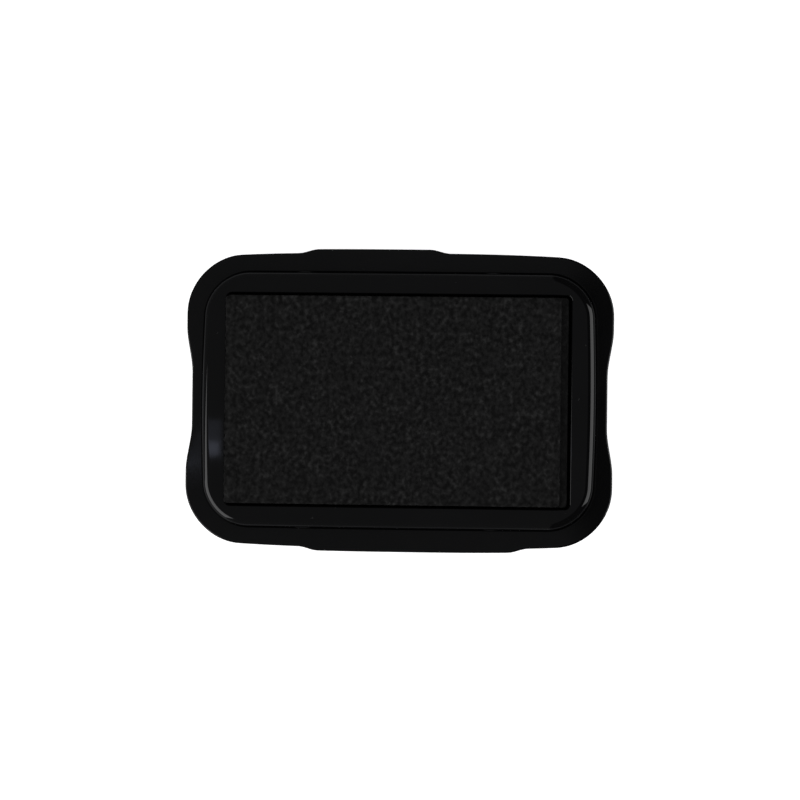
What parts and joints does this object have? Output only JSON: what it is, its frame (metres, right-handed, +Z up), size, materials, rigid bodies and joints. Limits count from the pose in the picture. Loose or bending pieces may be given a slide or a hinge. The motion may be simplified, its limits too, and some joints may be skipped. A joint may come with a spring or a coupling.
{
  "type": "ink pad",
  "caption": "Rectangular stamp ink pad: a black case with finger grips and thumb tabs holds raised felt in a tray, parked on its own lid.",
  "frame": {"origin": "on the table, under the middle of the case, where the lid's mouth rests", "axes": "+X along the case's length, +Y across it, +Z up out of the stamping pad"},
  "size_m": [0.0958, 0.0678, 0.0219],
  "materials": {
    "case_plastic": "moulded black, semi-gloss",
    "tray_plastic": "moulded black, polished",
    "seal_plastic": "vacuum-formed black, satin",
    "label_film": "plain dark grey sticker, satin",
    "adhesive_film": "double-sided adhesive sheet",
    "reservoir_felt": "dense felt soaked with black ink",
    "pad_felt": "fine felt, inked black"
  },
  "bodies": {
    "lid": {"lid_shell": "case_plastic", "lid_label": "label_film", "lid_seal_plate": "seal_plastic"},
    "base": {"base_shell": "case_plastic", "pad_tray": "tray_plastic", "felt_adhesive_sheet": "adhesive_film", "reservoir_felt": "reservoir_felt", "stamping_pad": "pad_felt", "base_label": "label_film"}
  },
  "joints": [
    {"name": "base_lift", "type": "slide", "parent": "lid", "child": "base", "axis": [0, 0, 1], "range_m": [0, 0.03]}
  ]
}
